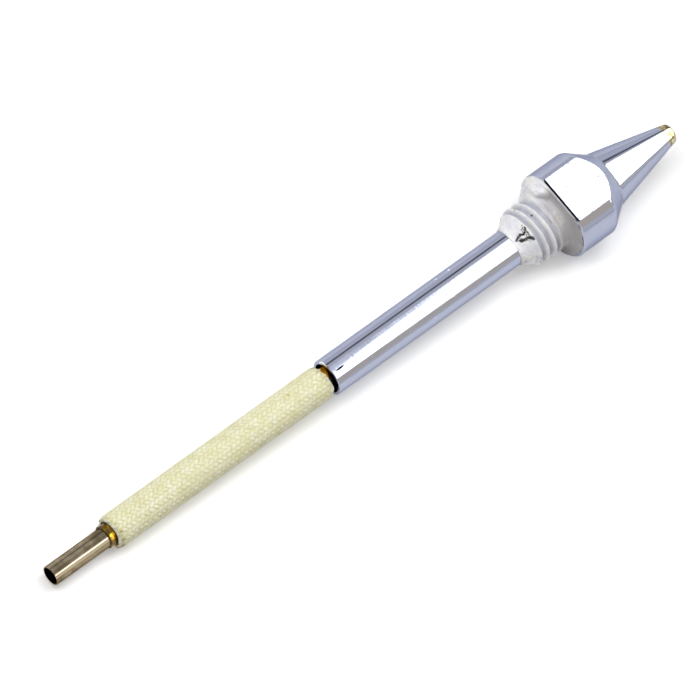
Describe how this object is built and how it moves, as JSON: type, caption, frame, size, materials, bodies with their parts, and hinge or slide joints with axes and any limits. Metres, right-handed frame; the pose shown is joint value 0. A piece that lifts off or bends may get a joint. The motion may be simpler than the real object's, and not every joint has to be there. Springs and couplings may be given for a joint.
{
  "type": "desoldering tip",
  "caption": "Plated desoldering nozzle with two spanner flats and a threaded stub, on a barrel tube and a thin suction pipe wrapped in film and a braided sleeve.",
  "frame": {"origin": "where the tip's axis crosses the shoulder, the face that seats on the heater block", "axes": "+X along the axis towards the nozzle's end, +Z out of one spanner flat, +Y to the left of +X seen from above"},
  "size_m": [0.1034, 0.012, 0.0098],
  "materials": {
    "plated_head": "bright chrome plate on turned metal, tinned at the end",
    "plated_barrel": "bright chrome plate on a drawn tube",
    "stainless_pipe": "drawn stainless steel, warm grey",
    "amber_film": "glossy amber film, creased",
    "glass_braid": "pale yellow glass-fibre braid",
    "white_compound": "dried white paste, lumpy and matt"
  },
  "bodies": {
    "root": {"nozzle_head": "plated_head", "barrel_tube": "plated_barrel", "suction_pipe": "stainless_pipe", "film_wrap": "amber_film", "braided_sleeve": "glass_braid", "thread_compound": "white_compound"}
  },
  "joints": []
}
